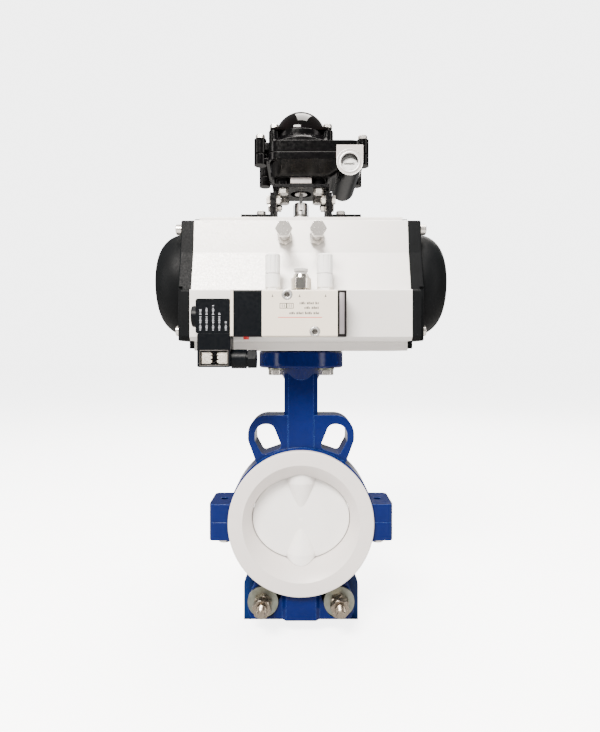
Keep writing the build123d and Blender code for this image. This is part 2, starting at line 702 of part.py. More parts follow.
def connector():
    """The plug housing below the coil, hollow behind its window."""
    case = block((-89.6, -61.0), (SOL_Y0, SOL_Y1), (156.5, 185.7))
    case = fillet(case.edges().filter_by(Axis.Y), 1.5)
    case = case - block((-86.5, -63.0), (SOL_Y0 + 2.2, SOL_Y1 - 2.5), (159.0, 170.0))
    case = case - block((-87.6, -62.6), (SOL_Y0 - 1, SOL_Y0 + 1.0), (157.6, 171.4))
    case = case - block((-86.5, -63.8), (SOL_Y0, SOL_Y0 + 3.0), (158.6, 170.4))
    return case - rod("X", 5.0, -64.6, -60.0, (SOL_AXIS_Y, 163.6))


def connector_gland():
    """Cable gland: a threaded stub with its gland nut, empty."""
    stub = rod("X", 8.5, -61.0, -48.0, (SOL_AXIS_Y, 163.6))
    nut = hexagon("X", 16.0, -46.6, -39.2, (SOL_AXIS_Y, 163.6))
    neck = rod("X", 7.2, -48.0, -46.6, (SOL_AXIS_Y, 163.6))
    return stub + neck + nut - rod("X", 4.0, -62, -38, (SOL_AXIS_Y, 163.6))


def inlet_fitting():
    """Straight push-in fitting: thread, hexagon and body."""
    body = rod("Z", 5.0, SOL_AXIS_Z + 10, SOL_Z1, (0, SOL_AXIS_Y))
    body = body + rod("Z", 7.4, SOL_Z1, SOL_Z1 + 1.3, (0, SOL_AXIS_Y))
    body = body + hexagon("Z", 16.0, SOL_Z1 + 1.3, 235.0, (0, SOL_AXIS_Y))
    body = body + cone("Z", 7.6, 6.6, 235.0, 238.0, (0, SOL_AXIS_Y))
    body = body - rod("Z", 4.1, 226, 240, (0, SOL_AXIS_Y)) - rod("Z", 3.0, 200, 230, (0, SOL_AXIS_Y))
    return body - rod("Z", 5.2, 231, 240, (0, SOL_AXIS_Y))


def release_collar():
    """The ring that is pushed down to free the tube."""
    sleeve = ring("Z", 5.1, 4.1, 233.5, 240.5, (0, SOL_AXIS_Y))
    return sleeve + ring("Z", 6.1, 4.1, 240.5, FIT_TOP, (0, SOL_AXIS_Y))


def silencers():
    """Two moulded silencers with fluted barrels."""
    pieces = []
    for x, radius in ((-25.0, 6.6), (21.0, 7.1)):
        piece = rod("Z", 5.0, SOL_AXIS_Z + 10, SOL_Z1, (x, SOL_AXIS_Y))
        piece = piece + hexagon("Z", radius * 1.75, SOL_Z1, SOL_Z1 + 3, (x, SOL_AXIS_Y))
        barrel = rod("Z", radius, SOL_Z1 + 3, 256, (x, SOL_AXIS_Y))
        barrel = fillet(barrel.edges().group_by(Axis.Z)[-1], 1.2)
        barrel = barrel - ring("Z", radius + 1, radius - 0.7, SILENCER_SEAM, SILENCER_SEAM + 0.9, (x, SOL_AXIS_Y))
        for step in range(FLUTES):
            angle = 2 * math.pi * (step + 0.25) / FLUTES
            at = (x + radius * math.cos(angle), SOL_AXIS_Y + radius * math.sin(angle))
            barrel = barrel - rod("Z", 0.55, SILENCER_SEAM + 2, 254, at)
        piece = piece + barrel
        pieces.append(piece - rod("Z", 3.0, 200, 245, (x, SOL_AXIS_Y)))
    return group(pieces)


# ---------------------------------------------------------------- switch box

BOX_X = (-34.0, 62.0)
BOX_Y = 42.0
BOSSES = [(-39.6, -32.0), (-39.6, 32.0), (60.4, -30.0), (60.4, 30.0)]
BOSS_FOOT = 351.5
BOSS_TOP = 376.6
ENTRY_Y = -36.0          # back of the square face round the conduit entry
ENTRY_TOP = 368.0
BOSS_R = 6.0
LID_EDGE = 372.6
PORT_R = 8.3             # conduit thread, G 3/8
BARREL_END = 43.0
CONDUIT_X = 46.7
CONDUIT_Z = 351.5
DOME_SCREWS = [(x, y) for x in (-26.5, 26.5) for y in (-21.0, 21.0)]
BRACKET_SCREWS = [(x, y) for x in (-18.0, 18.0) for y in (-17.0, 17.0)]
WALL = 3.5


def box_plan(inset, z):
    """The rounded plan of the box between two heights."""
    plan = block((BOX_X[0] + inset, BOX_X[1] - inset), (-BOX_Y + inset, BOX_Y - inset), z)
    return fillet(plan.edges().filter_by(Axis.Z), 14.0 - inset)


def box_bosses(inset, foot, top):
    """Round bosses at the corners, each with a web into the wall."""
    bosses = None
    for x, y in BOSSES:
        inner_x = x + 8 if x < 0 else x - 8
        boss = rod("Z", BOSS_R - inset, foot, top, (x, y))
        boss = boss + block((min(x, inner_x), max(x, inner_x)), (y - 4, y + 4), (foot + 3, top - 4))
        bosses = boss if bosses is None else bosses + boss
    return bosses


def bowl():
    """The tapered bottom of the base, between its rim and its foot."""
    rim = Pos(14, 0, 355) * RectangleRounded(92 - 4, 2 * BOX_Y - 4, 12)
    foot = Pos(1, 0, 343) * RectangleRounded(60, 56, 8)
    return loft([foot, rim])


def box_base():
    """The lower casting: a tapered bowl with corner bosses, a conduit barrel and a mounting foot."""
    rim_z = SEAM_Z - 0.6
    base = bowl() + box_plan(0.0, (355, rim_z)) + box_bosses(0.0, BOSS_FOOT, rim_z)
    base = base + block((-30, 30), (-26, 26), (BRACKET_TOP + 6, 347))
    base = base + block((-12, 12), (-24, 24), (BRACKET_TOP, 345))
    for at in BRACKET_SCREWS:
        base = base + rod("Z", 6.5, BRACKET_TOP, 350, at)
    inside = box_plan(WALL, (354, SEAM_Z)) + block((-24, 24), (-21, 21), (347, 355))
    for x, y in BOSSES:
        inside = inside - rod("Z", BOSS_R, 349, SEAM_Z, (x, y))
    base = base - inside
    barrel = rod("Y", 12.4, -BOX_Y, BARREL_END, (CONDUIT_X, CONDUIT_Z))
    base = base + (barrel & block((-70, 70), (-50, 50), (330, rim_z)))
    entry = block((34, 59.5), (-BOX_Y, ENTRY_Y), (CONDUIT_Z, ENTRY_TOP))
    base = base + entry + rod("Y", 12.6, -BOX_Y, ENTRY_Y, (CONDUIT_X, CONDUIT_Z))
    base = base - rod("Z", 4.05, BRACKET_TOP - 1, 348)
    base = base - rod("Y", 7.4, -BOX_Y - 1, 27, (CONDUIT_X, CONDUIT_Z))
    for low, high in ((-BOX_Y - 1, -BOX_Y + 13), (26, BARREL_END + 1)):
        base = base - rod("Y", PORT_R, low, high, (CONDUIT_X, CONDUIT_Z))
    for x, y in BOSSES:
        base = base - rod("Z", 2.4, BOSS_FOOT + 2, SEAM_Z, (x, y))
    for x, y in BRACKET_SCREWS:
        base = base - rod("Z", 3.0, BRACKET_TOP - 1, BRACKET_TOP + 7.5, (x, y))
    return base


def box_gasket():
    seal = box_plan(1.0, (SEAM_Z - 0.6, SEAM_Z + 0.6)) - box_plan(WALL, (SEAM_Z - 2, SEAM_Z + 2))
    for x, y in BOSSES:
        seal = seal - rod("Z", 2.8, SEAM_Z - 2, SEAM_Z + 2, (x, y))
    return seal - block((33.6, 62.5), (-43, ENTRY_Y + 0.2), (SEAM_Z - 2, SEAM_Z + 2))


def box_cover():
    """The upper casting, rising in a cone to the indicator."""
    cover = box_plan(0.0, (SEAM_Z + 0.6, LID_EDGE))
    cover = cover + (cone("Z", 47.0, 33.0, LID_EDGE - 1, 383) & box_plan(1.5, (360, 392)))
    cover = cover + rod("Z", 31.0, 381, COVER_TOP)
    for x, y in DOME_SCREWS:
        cover = cover + rod("Z", 5.6, 372, COVER_TOP, (x, y))
    cover = cover + box_bosses(0.0, SEAM_Z + 0.6, BOSS_TOP)
    cover = cover - box_plan(WALL, (360, 368.5))
    cover = cover - (cone("Z", 40.0, 27.0, 367, 384) & box_plan(WALL, (360, 392)))
    cover = cover - rod("Z", 21.0, 380, COVER_TOP + 1)
    for x, y in BOSSES:
        cover = cover + rod("Z", BOSS_R, SEAM_Z + 0.6, 369, (x, y))
        cover = cover - rod("Z", 2.8, 360, BOSS_TOP + 1, (x, y))
    for x, y in DOME_SCREWS:
        cover = cover - rod("Z", 2.4, COVER_TOP - 9, COVER_TOP + 1, (x, y))
    return cover - block((33.6, 59.9), (-43, ENTRY_Y + 0.2), (SEAM_Z - 2, ENTRY_TOP + 0.2))


def cover_screws():
    """The same screws hold the cover on the base and the dome on the cover."""
    seats = [(BOSS_TOP, BOSS_FOOT + 2, at) for at in BOSSES]
    seats += [(COVER_TOP + 2.5, COVER_TOP - 8, at) for at in DOME_SCREWS]
    return group([hex_screw("Z", 8.0, 2.4, (seat + 4.4, seat), tip, at) for seat, tip, at in seats])


def indicator_dome():
    """Clear dome over the indicator, with a square flange."""
    flange = block((-31, 31), (-27.5, 27.5), (COVER_TOP, COVER_TOP + 2.5))
    flange = fillet(flange.edges().filter_by(Axis.Z), 7.0)
    ball = Pos(0, 0, DOME_TOP - DOME_R)
    outer = ball * Sphere(DOME_R) & block((-30, 30), (-30, 30), (COVER_TOP, DOME_TOP + 1))
    inner = ball * Sphere(DOME_R - 2.5) & block((-30, 30), (-30, 30), (COVER_TOP - 1, DOME_TOP))
    dome = flange + outer - inner
    dome = dome - rod("Z", 21.0, COVER_TOP - 1, COVER_TOP + 3)
    for x, y in DOME_SCREWS:
        dome = dome - rod("Z", 2.6, COVER_TOP - 1, COVER_TOP + 3, (x, y))
    return dome


def switch_shaft():
    """Shaft whose blade stands in the pinion's slot and turns the cams and the indicator."""
    shaft = rod("Z", 4.0, BRACKET_TOP - 3, 392)
    blade = block((-1.8, 1.8), (-5.5, 5.5), (PAD_TOP + 11.5, BRACKET_TOP - 2))
    collar = rod("Z", 6.4, BRACKET_TOP - 3.4, BRACKET_TOP - 0.6)
    return shaft + blade + collar


def switch_cams():
    """Two cams clamped to the shaft, each with one lobe."""
    cams = []
    for low, turn in ((352.0, 200.0), (364.0, 110.0)):
        body = ring("Z", 9.0, 4.0, low, low + 8)
        lobe = block((6, 12), (-3.5, 3.5), (low, low + 8))
        cams.append(Rot(0, 0, turn) * (body + lobe))
    return group(cams)


def microswitches():
    """Two snap switches beside the cams."""
    switches = []
    for low in (352.5, 364.5):
        case = block((13.5, 22.5), (-10, 10), (low, low + 7))
        switches.append(fillet(case.edges().filter_by(Axis.Z), 0.6))
    return group(switches)


def indicator_rotor():
    """Position indicator: a drum with coloured flanks, under the dome."""
    drum_part = rod("Z", 17.0, 391.5, 401)
    drum_part = drum_part + cone("Z", 17.0, 11.0, 401, 407)
    drum_part = drum_part - block((-30, -6), (-4.5, 4.5), (394, 411)) - block((6, 30), (-4.5, 4.5), (394, 411))
    return drum_part - rod("Z", 4.0, 390, 392)


def conduit_plug():
    """Recessed blanking plug in the front conduit entry."""
    plug = rod("Y", PORT_R, -BOX_Y + 5, -BOX_Y + 13, (CONDUIT_X, CONDUIT_Z))
    slot = block((CONDUIT_X - 5, CONDUIT_X + 5), (-BOX_Y + 4, -BOX_Y + 6.5), (CONDUIT_Z - 0.9, CONDUIT_Z + 0.9))
    return plug - slot


BRACKET_T = 3.0
LEG_X = 28.0
BRACKET_Y = 20.0
FOOT_END = 60.0
SIDE_SCREW_Y = 14.0
SIDE_SCREW_Z = 323.6
SOLE_T = 3.0


def box_bracket():
    """Upper bracket: a top plate with a flange folded down at each side."""
    top = block((-LEG_X, LEG_X), (-BRACKET_Y - 4, BRACKET_Y + 4), (BRACKET_TOP - BRACKET_T, BRACKET_TOP))
    for side in (-1, 1):
        near, far = sorted((side * (LEG_X - BRACKET_T), side * LEG_X))
        top = top + block((near, far), (-BRACKET_Y, BRACKET_Y), (312, BRACKET_TOP))
        for y in (-SIDE_SCREW_Y, SIDE_SCREW_Y):
            top = top - rod("X", 2.6, near - 1, far + 1, (y, SIDE_SCREW_Z))
    for at in BRACKET_SCREWS:
        top = top - rod("Z", 3.1, BRACKET_TOP - 5, BRACKET_TOP + 1, at)
    return top - rod("Z", 11.0, BRACKET_TOP - 5, BRACKET_TOP + 1)


def bracket_feet():
    """Two angle feet outside the upper bracket, standing on the actuator's pad."""
    feet = []
    for side in (-1, 1):
        leg = block((LEG_X, LEG_X + BRACKET_T), (-BRACKET_Y, BRACKET_Y), (PAD_TOP, 329.5))
        sole = block((LEG_X, FOOT_END), (-BRACKET_Y, BRACKET_Y), (PAD_TOP, PAD_TOP + SOLE_T))
        foot = leg + sole
        for y in (-SIDE_SCREW_Y, SIDE_SCREW_Y):
            foot = foot - rod("X", 2.6, LEG_X - 1, LEG_X + BRACKET_T + 1, (y, SIDE_SCREW_Z))
        for y in (-15, 15):
            foot = foot - rod("Z", 2.8, PAD_TOP - 1, PAD_TOP + 4, (40, y))
        feet.append(foot if side > 0 else mirror(foot, about=Plane.YZ))
    return group(feet)


def bracket_screws():
    """Screws of one size: four into the actuator, four with nuts between feet and bracket."""
    sole_top = PAD_TOP + SOLE_T
    pieces = [hex_screw("Z", 8.0, 2.5, (sole_top + 4, sole_top), PAD_TOP - 8, (x, y))
              for x in (-40, 40) for y in (-15, 15)]
    for side in (-1, 1):
        for y in (-SIDE_SCREW_Y, SIDE_SCREW_Y):
            at = (y, SIDE_SCREW_Z)
            outer = side * (LEG_X + BRACKET_T)
            inner = side * (LEG_X - BRACKET_T)
            screw = hex_screw("X", 8.0, 2.5, (outer + side * 3.8, outer), inner - side * 5, at)
            nut = hexagon("X", 8.0, inner - side * 4, inner, at) - rod("X", 2.5, inner - 6, inner + 6, at)
            pieces += [screw, nut]
    return group(pieces)


def box_screws():
    """Screws from below that hold the switch box on its bracket."""
    under = BRACKET_TOP - BRACKET_T
    return group([hex_screw("Z", 10.0, 3.0, (under - 5.0, under), BRACKET_TOP + 6.5, at)
                  for at in BRACKET_SCREWS])


PARTS = {
    "upper_body": upper_body,
    "lower_body": lower_body,
    "body_bolts": body_bolts,
    "seat_liner": seat_liner,
    "seat_backing": seat_backing,
    "disc_stem": disc_stem,
    "disc_cover": disc_cover,
    "stem_bushes": stem_bushes,
    "stem_packing": stem_packing,
    "flange_bolts": flange_bolts,
    "flange_washers": flange_washers,
    "support_bracket": support_bracket,
    "support_studs": support_studs,
    "support_nuts": support_nuts,
    "support_washers": support_washers,
    "actuator_body": actuator_body,
    "left_end_cap": lambda: end_cap(-1),
    "right_end_cap": lambda: end_cap(1),
    "cap_gaskets": cap_gaskets,
    "cap_screws": cap_screws,
    "left_piston": left_piston,
    "right_piston": lambda: other_side(left_piston()),
    "left_piston_rings": piston_seals,
    "right_piston_rings": lambda: other_side(piston_seals()),
    "pinion": pinion,
    "pinion_bearings": pinion_bearings,
    "pinion_clip": pinion_circlip,
    "stop_cam": stop_cam,
    "stop_bolts": stop_bolts,
    "stop_nuts": stop_nuts,
    "solenoid_body": solenoid_body,
    "solenoid_end_cover": solenoid_end_cover,
    "solenoid_screws": solenoid_screws,
    "port_gasket": port_gasket,
    "valve_spool": valve_spool,
    "pilot_block": pilot_block,
    "pilot_plate": pilot_plate,
    "override_button": override_button,
    "coil": coil,
    "coil_nut": coil_nut,
    "coil_plunger": coil_plunger,
    "connector": connector,
    "connector_gland": connector_gland,
    "inlet_fitting": inlet_fitting,
    "release_collar": release_collar,
    "silencers": silencers,
    "box_bracket": box_bracket,
    "bracket_feet": bracket_feet,
    "bracket_screws": bracket_screws,
    "box_screws": box_screws,
    "box_base": box_base,
    "box_gasket": box_gasket,
    "box_cover": box_cover,
    "cover_screws": cover_screws,
    "indicator_dome": indicator_dome,
    "indicator_rotor": indicator_rotor,
    "switch_shaft": switch_shaft,
    "switch_cams": switch_cams,
    "microswitches": microswitches,
    "conduit_plug": conduit_plug,
}

for part_name, make_part in PARTS.items():
    save(part_name, make_part())
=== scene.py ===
import json
import math

import bpy
from mathutils import Matrix, Vector


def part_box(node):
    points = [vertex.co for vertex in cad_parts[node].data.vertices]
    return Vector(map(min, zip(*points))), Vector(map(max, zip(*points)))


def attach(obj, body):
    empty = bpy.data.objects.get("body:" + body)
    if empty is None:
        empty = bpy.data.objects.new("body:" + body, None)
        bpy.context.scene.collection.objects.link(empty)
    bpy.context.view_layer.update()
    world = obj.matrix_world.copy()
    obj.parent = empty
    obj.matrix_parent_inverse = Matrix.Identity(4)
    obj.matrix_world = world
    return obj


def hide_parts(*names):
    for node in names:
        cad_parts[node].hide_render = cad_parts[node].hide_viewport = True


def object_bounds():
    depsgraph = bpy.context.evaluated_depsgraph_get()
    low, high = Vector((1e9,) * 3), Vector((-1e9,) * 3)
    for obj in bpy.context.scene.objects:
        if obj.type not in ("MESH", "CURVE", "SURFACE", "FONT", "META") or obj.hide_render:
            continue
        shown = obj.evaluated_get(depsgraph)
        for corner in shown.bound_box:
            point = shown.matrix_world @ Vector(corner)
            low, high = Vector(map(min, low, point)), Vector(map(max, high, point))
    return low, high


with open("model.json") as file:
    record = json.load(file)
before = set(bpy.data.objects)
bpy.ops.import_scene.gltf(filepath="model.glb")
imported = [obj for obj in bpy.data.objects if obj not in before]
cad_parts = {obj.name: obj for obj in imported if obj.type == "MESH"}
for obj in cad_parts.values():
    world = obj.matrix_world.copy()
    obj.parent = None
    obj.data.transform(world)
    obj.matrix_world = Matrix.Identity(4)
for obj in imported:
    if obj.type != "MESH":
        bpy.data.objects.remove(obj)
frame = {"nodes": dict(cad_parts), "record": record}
cad_low, cad_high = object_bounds()
MM = 0.001

# ---------------------------------------------------------------- studio

EYE_DISTANCE = 0.530      # from the stem to the camera
EYE_HEIGHT = 0.1688
SKY_GLOW = 0.26
FLOOR_BOUNCE = 0.42       # how pale the floor is to the object standing on it
FLOOR_GLOW = 4.5          # keeps the floor evenly pale to the eye
BACKDROP_GLOW = 4.8       # the backdrop meets the floor without a line
LENS = 25.1
SHIFT = (-1.0 / 732, -13.0 / 732)
LAMP_TINT = (1.0, 0.955, 0.905)
FLOOR_Z = cad_low[2]


def build_camera():
    """A camera level with the actuator's foot, looking square at the solenoid valve's side."""
    data = bpy.data.cameras.new("studio_camera")
    data.lens = LENS
    data.sensor_width = 36.0
    data.clip_end = 50.0
    data.shift_x, data.shift_y = SHIFT
    camera = bpy.data.objects.new("studio_camera", data)
    camera.location = (0.0, -EYE_DISTANCE, EYE_HEIGHT)
    camera.rotation_euler = (math.radians(90), 0.0, 0.0)
    bpy.context.scene.collection.objects.link(camera)
    bpy.context.scene.camera = camera


def build_light(name, place, aim, size, watts):
    data = bpy.data.lights.new(name, "AREA")
    data.shape = "RECTANGLE"
    data.size, data.size_y = size
    data.energy = watts
    data.color = LAMP_TINT
    lamp = bpy.data.objects.new(name, data)
    lamp.location = place
    direction = Vector(aim) - Vector(place)
    lamp.rotation_euler = direction.to_track_quat("-Z", "Y").to_euler()
    bpy.context.scene.collection.objects.link(lamp)


def build_studio():
    """Pale floor that fades into the backdrop, big soft boxes and an even sky."""
    start_clean()
    bpy.ops.mesh.primitive_plane_add(size=24.0, location=(0, 0, FLOOR_Z))
    floor = bpy.context.object
    floor.name = "studio_floor"
    paint = bpy.data.materials.new("studio_paint")
    paint.use_nodes = True
    tree = paint.node_tree
    shader = tree.nodes["Principled BSDF"]
    shader.inputs["Roughness"].default_value = 0.9
    shader.inputs["Specular IOR Level"].default_value = 0.1
    shader.inputs["Emission Color"].default_value = (1.0, 1.0, 1.0, 1)
    ray = tree.nodes.new("ShaderNodeLightPath")
    shade = tree.nodes.new("ShaderNodeMix")
    shade.data_type = "RGBA"
    shade.inputs["A"].default_value = (FLOOR_BOUNCE, FLOOR_BOUNCE, FLOOR_BOUNCE, 1)
    shade.inputs["B"].default_value = (0.93, 0.93, 0.93, 1)
    glow = tree.nodes.new("ShaderNodeMath")
    glow.operation = "MULTIPLY"
    glow.inputs[1].default_value = FLOOR_GLOW
    tree.links.new(ray.outputs["Is Camera Ray"], shade.inputs["Factor"])
    tree.links.new(ray.outputs["Is Camera Ray"], glow.inputs[0])
    tree.links.new(shade.outputs["Result"], shader.inputs["Base Color"])
    tree.links.new(glow.outputs["Value"], shader.inputs["Emission Strength"])
    floor.data.materials.append(paint)
    world = bpy.data.worlds.new("studio_sky")
    world.use_nodes = True
    tree = world.node_tree
    sky = tree.nodes["Background"]
    sky.inputs["Color"].default_value = (1.0, 1.0, 1.0, 1)
    ray = tree.nodes.new("ShaderNodeLightPath")
    glow = tree.nodes.new("ShaderNodeMapRange")
    glow.inputs["To Min"].default_value = SKY_GLOW
    glow.inputs["To Max"].default_value = BACKDROP_GLOW
    tree.links.new(ray.outputs["Is Camera Ray"], glow.inputs["Value"])
    tree.links.new(glow.outputs["Result"], sky.inputs["Strength"])
    bpy.context.scene.world = world
    build_light("key_softbox", (-0.5, -1.5, 1.5), (0, 0, 0.2), (0.9, 0.5), 150)
    build_light("left_softbox", (-1.6, -0.7, 0.5), (0, 0, 0.2), (0.4, 1.2), 16)
    build_light("right_softbox", (1.5, -0.9, 0.5), (0, 0, 0.15), (0.4, 1.2), 14)
    build_light("top_softbox", (0.1, 0.0, 1.7), (0, 0, 0.2), (1.2, 0.7), 62)
    build_light("rear_softbox", (0.4, 1.5, 1.2), (0, 0, 0.2), (1.2, 0.8), 24)


# ---------------------------------------------------------------- finishes


class Finish:
    """A node material whose patterns read the piece's own coordinates."""

    def __init__(self, name, colour, roughness, metallic=0.0, **sockets):
        self.material = bpy.data.materials.new(name)
        self.material.use_nodes = True
        self.tree = self.material.node_tree
        self.shader = self.tree.nodes["Principled BSDF"]
        self.colour = (*colour, 1.0)
        self.shader.inputs["Base Color"].default_value = self.colour
        self.shader.inputs["Roughness"].default_value = roughness
        self.shader.inputs["Metallic"].default_value = metallic
        for socket, value in sockets.items():
            self.shader.inputs[socket.replace("_", " ")].default_value = value
        self.place = self.add("ShaderNodeTexCoord").outputs["Object"]
        self.height = None

    def add(self, kind, **values):
        made = self.tree.nodes.new(kind)
        for key, value in values.items():
            setattr(made, key, value)
        return made

    def link(self, source, target):
        self.tree.links.new(source, target)

    def stretched(self, scale):
        """The piece's coordinates, stretched to draw a grain out along an axis."""
        mapping = self.add("ShaderNodeMapping")
        self.link(self.place, mapping.inputs["Vector"])
        mapping.inputs["Scale"].default_value = scale
        return mapping.outputs["Vector"]

    def noise(self, size_mm, detail=3.0, roughness=0.55, grain=None):
        made = self.add("ShaderNodeTexNoise")
        self.link(self.stretched(grain) if grain else self.place, made.inputs["Vector"])
        made.inputs["Scale"].default_value = 1000.0 / size_mm
        made.inputs["Detail"].default_value = detail
        made.inputs["Roughness"].default_value = roughness
        return made.outputs["Fac"]

    def between(self, value, low, high, to_low, to_high):
        made = self.add("ShaderNodeMapRange")
        self.link(value, made.inputs["Value"])
        for key, number in (("From Min", low), ("From Max", high), ("To Min", to_low), ("To Max", to_high)):
            made.inputs[key].default_value = number
        return made.outputs["Result"]

    def tint(self, mask, colour):
        """Blends a second colour in where the mask is high."""
        made = self.add("ShaderNodeMix", data_type="RGBA")
        current = self.shader.inputs["Base Color"]
        if current.is_linked:
            self.link(current.links[0].from_socket, made.inputs["A"])
        else:
            made.inputs["A"].default_value = self.colour
        made.inputs["B"].default_value = (*colour, 1.0)
        self.link(mask, made.inputs["Factor"])
        self.link(made.outputs["Result"], current)

    def gloss(self, value, low, high, to_low, to_high):
        self.link(self.between(value, low, high, to_low, to_high), self.shader.inputs["Roughness"])

    def edges(self, radius_mm):
        """High along the piece's edges: the rounded normal leaves the flat one."""
        rounded = self.add("ShaderNodeBevel", samples=4)
        rounded.inputs["Radius"].default_value = radius_mm * MM
        flat = self.add("ShaderNodeNewGeometry")
        product = self.add("ShaderNodeVectorMath", operation="DOT_PRODUCT")
        self.link(rounded.outputs["Normal"], product.inputs[0])
        self.link(flat.outputs["Normal"], product.inputs[1])
        return self.between(product.outputs["Value"], 0.99, 0.86, 0.0, 1.0)

    def painted_shade_mask(self, reach_mm):
        """High in corners and holes that little light reaches: the mask for shade painted into a colour."""
        made = self.add("ShaderNodeAmbientOcclusion", samples=4)
        made.inputs["Distance"].default_value = reach_mm * MM
        return self.between(made.outputs["AO"], 0.75, 0.30, 0.0, 1.0)

    def bump(self, value, depth_mm, strength=1.0, radius_mm=0.0):
        made = self.add("ShaderNodeBump")
        made.inputs["Strength"].default_value = strength
        made.inputs["Distance"].default_value = depth_mm * MM
        self.link(value, made.inputs["Height"])
        current = self.shader.inputs["Normal"]
        if current.is_linked:
            self.link(current.links[0].from_socket, made.inputs["Normal"])
        elif radius_mm:
            rounded = self.add("ShaderNodeBevel", samples=4)
            rounded.inputs["Radius"].default_value = radius_mm * MM
            self.link(rounded.outputs["Normal"], made.inputs["Normal"])
        self.link(made.outputs["Normal"], current)

    def product(self, one, other):
        made = self.add("ShaderNodeMath", operation="MULTIPLY")
        self.link(one, made.inputs[0])
        self.link(other, made.inputs[1])
        return made.outputs["Value"]


def cast_enamel(name, colour, light, dark):
    """Sprayed gloss enamel over a sand casting: orange peel, casting lumps, edges lighter as thin enamel
    and painted highlight, and painted shade in hollows.
    """
    made = Finish(name, colour, 0.16, Specular_IOR_Level=0.15)
    lumps = made.noise(9.0, 4.0)
    made.tint(made.between(lumps, 0.35, 0.7, 0.0, 0.4), dark)
    # painted shade: the enamel darkened in hollows and corners where little light reaches
    made.tint(made.painted_shade_mask(9.0), tuple(c * 0.35 for c in dark))
    # edges lighter: partly thin enamel at the edges, partly a painted highlight
    made.tint(made.product(made.edges(0.8), made.between(made.noise(3.0), 0.35, 0.65, 0.3, 0.9)), light)
    made.gloss(made.noise(4.0), 0.3, 0.7, 0.12, 0.24)
    made.bump(lumps, 0.20, 0.5, 1.6)
    made.bump(made.noise(1.8, 2.0), 0.03, 0.35)
    return made.material


def ptfe(name, colour):
    """Waxy white fluoropolymer with turning marks and faint handling marks."""
    made = Finish(name, colour, 0.34, Specular_IOR_Level=0.35)
    made.tint(made.between(made.noise(28.0, 4.0), 0.4, 0.75, 0.0, 0.5), tuple(c * 0.93 for c in colour))
    specks = made.between(made.noise(2.2, 4.0, 0.7), 0.68, 0.78, 0.0, 0.35)
    made.tint(specks, tuple(c * 0.8 for c in colour))
    # painted shade: the white darkened in hollows and corners
    made.tint(made.painted_shade_mask(4.0), tuple(c * 0.5 for c in colour))
    made.gloss(made.noise(7.0), 0.3, 0.7, 0.27, 0.44)
    made.bump(made.noise(5.0), 0.10, 0.5, 0.5)
    made.bump(made.noise(0.8), 0.02, 0.4)
    return made.material


def bright_steel(name, colour=(0.62, 0.60, 0.57), roughness=0.26, grain=(1, 1, 1), metallic=1.0):
    """Bright turned or rolled steel with fine scratches and dull spots."""
    made = Finish(name, colour, roughness, metallic)
    made.tint(made.between(made.noise(5.0, 4.0), 0.42, 0.7, 0.0, 0.35), tuple(c * 0.75 for c in colour))
    # painted shade: near black in hollows and corners
    made.tint(made.painted_shade_mask(3.0), (0.03, 0.022, 0.016))
    made.gloss(made.noise(1.2, 4.0, 0.6, grain), 0.3, 0.7, roughness * 0.8, roughness * 1.3)
    made.bump(made.noise(0.5, 3.0, 0.6, grain), 0.006, 0.4, 0.3)
    return made.material


def zinc_plate():
    made = Finish("dull_zinc", (0.24, 0.25, 0.21), 0.38, 1.0)
    made.tint(made.between(made.noise(6.0, 5.0), 0.4, 0.7, 0.0, 0.7), (0.15, 0.155, 0.13))
    made.gloss(made.noise(2.0, 4.0), 0.3, 0.7, 0.28, 0.5)
    made.bump(made.noise(0.9), 0.03, 0.5, 0.3)
    return made.material


def anodised():
    """Bead-blasted and clear anodised extrusion, with faint lines along its length."""
    made = Finish("blasted_anodised", (0.76, 0.735, 0.71), 0.46, 0.25, Specular_IOR_Level=0.4)
    clouds = made.between(made.noise(40.0, 4.0, 0.6, (0.3, 1, 1)), 0.4, 0.7, 0.0, 0.4)
    made.tint(clouds, (0.72, 0.71, 0.695))
    made.tint(made.between(made.noise(1.1, 3.0), 0.55, 0.8, 0.0, 0.30), (0.62, 0.61, 0.60))
    # painted shade: the anodised grey darkened in hollows and corners
    made.tint(made.painted_shade_mask(6.0), (0.42, 0.41, 0.38))
    made.gloss(made.noise(1.5, 3.0), 0.3, 0.7, 0.38, 0.56)
    made.bump(made.noise(0.55, 2.0), 0.035, 0.5, 0.6)
    made.bump(made.noise(2.2, 2.0, 0.5, (0.04, 1, 1)), 0.03, 0.4)
    return made.material


def cast_alloy():
    made = Finish("die_cast_alloy", (0.62, 0.62, 0.61), 0.42, 1.0)
    made.gloss(made.noise(3.0, 3.0), 0.3, 0.7, 0.34, 0.52)
    made.bump(made.noise(1.2, 3.0), 0.05, 0.5, 0.4)
    return made.material


def powder_coat(name, colour, lighter, peel_mm=0.9, roughness=0.5, sheen=0.5):
    """Fine textured powder coat with edges rubbed a little lighter."""
    made = Finish(name, colour, roughness, Specular_IOR_Level=sheen)
    made.tint(made.between(made.noise(18.0, 3.0), 0.4, 0.75, 0.0, 0.6), lighter)
    made.tint(made.product(made.edges(0.8), made.between(made.noise(2.0), 0.4, 0.6, 0.0, 0.7)),
              tuple(min(1.0, c * 3.0) for c in lighter))
    made.gloss(made.noise(peel_mm * 1.5), 0.3, 0.7, roughness - 0.08, roughness + 0.12)
    made.bump(made.noise(peel_mm, 2.0), 0.10, 0.7, 0.8)
    return made.material


def moulding(name, colour, roughness=0.42, texture_mm=0.35, lighter=None, sheen=0.5):
    """Spark-textured plastic moulding."""
    made = Finish(name, colour, roughness, Specular_IOR_Level=sheen)
    second = lighter or tuple(min(1.0, c * 1.5 + 0.01) for c in colour)
    made.tint(made.between(made.noise(12.0, 3.0), 0.4, 0.75, 0.0, 0.5), second)
    made.gloss(made.noise(2.5), 0.3, 0.7, roughness - 0.07, roughness + 0.10)
    made.bump(made.noise(texture_mm, 2.0), 0.03, 0.5, 0.35)
    return made.material


